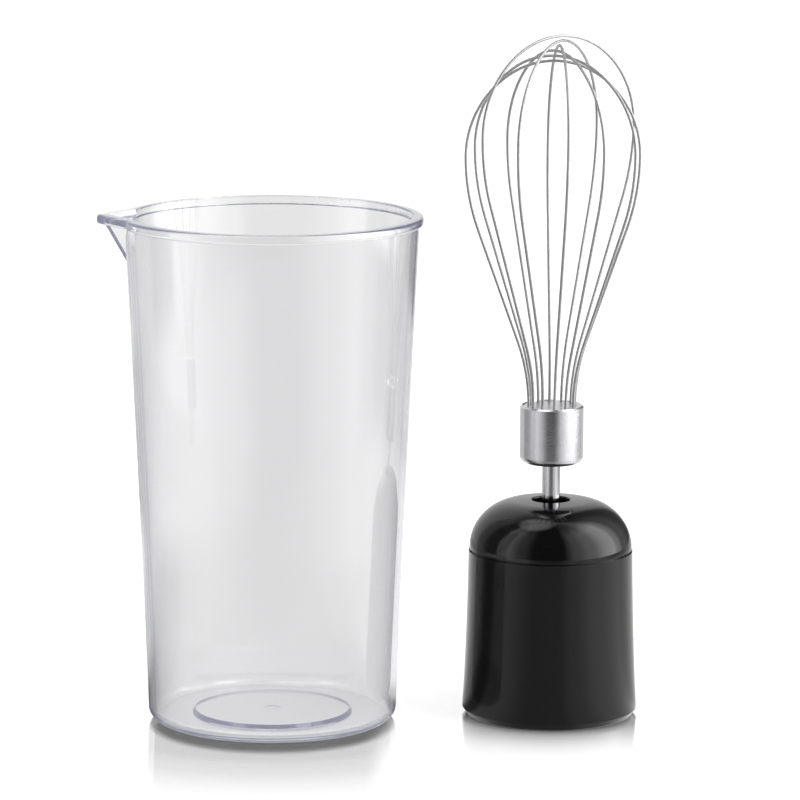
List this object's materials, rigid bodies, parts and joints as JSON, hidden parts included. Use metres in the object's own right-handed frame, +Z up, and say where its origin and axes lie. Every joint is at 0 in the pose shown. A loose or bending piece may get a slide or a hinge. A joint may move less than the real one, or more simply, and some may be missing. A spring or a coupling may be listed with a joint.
{
  "type": "immersion blender whisk attachment and beaker",
  "caption": "Clear beaker with a pouring spout, and a balloon whisk in a glossy black planetary gearbox that plugs onto a stick blender's motor handle.",
  "frame": {"origin": "centre of the motor socket's mouth, on the floor plane that both pieces stand on", "axes": "+Z up along the whisk's axis, out of the socket's mouth is -Z; -X towards the beaker; -Y towards the viewer"},
  "size_m": [0.1801, 0.1, 0.2285],
  "materials": {
    "housing_gloss": "glossy",
    "socket_plastic": "satin",
    "case_plastic": "satin",
    "gear_plastic": "satin",
    "bush_bronze": "sintered",
    "steel": "bright",
    "seal_rubber": "matt",
    "shaft_steel": "polished",
    "wire_steel": "bright drawn",
    "ferrule_aluminium": "brushed",
    "plug_aluminium": "cast",
    "clear_plastic": "clear"
  },
  "bodies": {
    "housing": {"outer_sleeve": "housing_gloss", "dome_cover": "housing_gloss", "motor_socket": "socket_plastic", "gear_case": "case_plastic", "gear_case_cover": "case_plastic", "ring_gear": "gear_plastic", "input_bush": "bush_bronze", "output_bush": "bush_bronze", "thrust_washer": "steel", "shaft_seal": "seal_rubber", "socket_screw_1": "steel", "socket_screw_2": "steel", "socket_screw_3": "steel", "case_screw_1": "steel", "case_screw_2": "steel", "case_screw_3": "steel"},
    "drive": {"drive_coupling": "socket_plastic", "sun_gear": "steel"},
    "carrier": {"planet_carrier": "case_plastic", "carrier_plate": "steel", "planet_pin_1": "steel", "planet_pin_2": "steel", "planet_pin_3": "steel", "output_spindle": "socket_plastic", "retaining_clip": "steel"},
    "planet_1": {"planet_gear_1": "gear_plastic"},
    "planet_2": {"planet_gear_2": "gear_plastic"},
    "planet_3": {"planet_gear_3": "gear_plastic"},
    "whisk": {"whisk_shaft": "shaft_steel", "ferrule": "ferrule_aluminium", "ferrule_plug": "plug_aluminium", "wire_loop_1": "wire_steel", "wire_loop_2": "wire_steel", "wire_loop_3": "wire_steel", "wire_loop_4": "wire_steel", "wire_loop_5": "wire_steel", "wire_loop_6": "wire_steel"},
    "beaker": {"beaker": "clear_plastic"}
  },
  "joints": [
    {"name": "whisk_spin", "type": "hinge", "parent": "housing", "child": "carrier", "pos_m": [0, 0, 0.046], "axis": [0, 0, 1], "continuous": true},
    {"name": "coupling_spin", "type": "hinge", "parent": "housing", "child": "drive", "pos_m": [0, 0, 0.03], "axis": [0, 0, 1], "continuous": true},
    {"name": "planet_1_spin", "type": "hinge", "parent": "carrier", "child": "planet_1", "pos_m": [0.01125, 0, 0.04185], "axis": [0, 0, 1], "continuous": true},
    {"name": "planet_2_spin", "type": "hinge", "parent": "carrier", "child": "planet_2", "pos_m": [-0.00562, 0.00974, 0.04185], "axis": [0, 0, 1], "continuous": true},
    {"name": "planet_3_spin", "type": "hinge", "parent": "carrier", "child": "planet_3", "pos_m": [-0.00562, -0.00974, 0.04185], "axis": [0, 0, 1], "continuous": true},
    {"name": "whisk_pull_out", "type": "slide", "parent": "carrier", "child": "whisk", "axis": [0, 0, 1], "range_m": [0, 0.035], "deforming": ["retaining_clip"]},
    {"name": "beaker_lift", "type": "slide", "parent": "housing", "child": "beaker", "axis": [0, 0, 1], "range_m": [0, 0.2]}
  ],
  "couplings": [
    {"joint": "coupling_spin", "follows": "whisk_spin", "ratio": 5},
    {"joint": "planet_1_spin", "follows": "whisk_spin", "ratio": -2.6667},
    {"joint": "planet_2_spin", "follows": "whisk_spin", "ratio": -2.6667},
    {"joint": "planet_3_spin", "follows": "whisk_spin", "ratio": -2.6667}
  ]
}
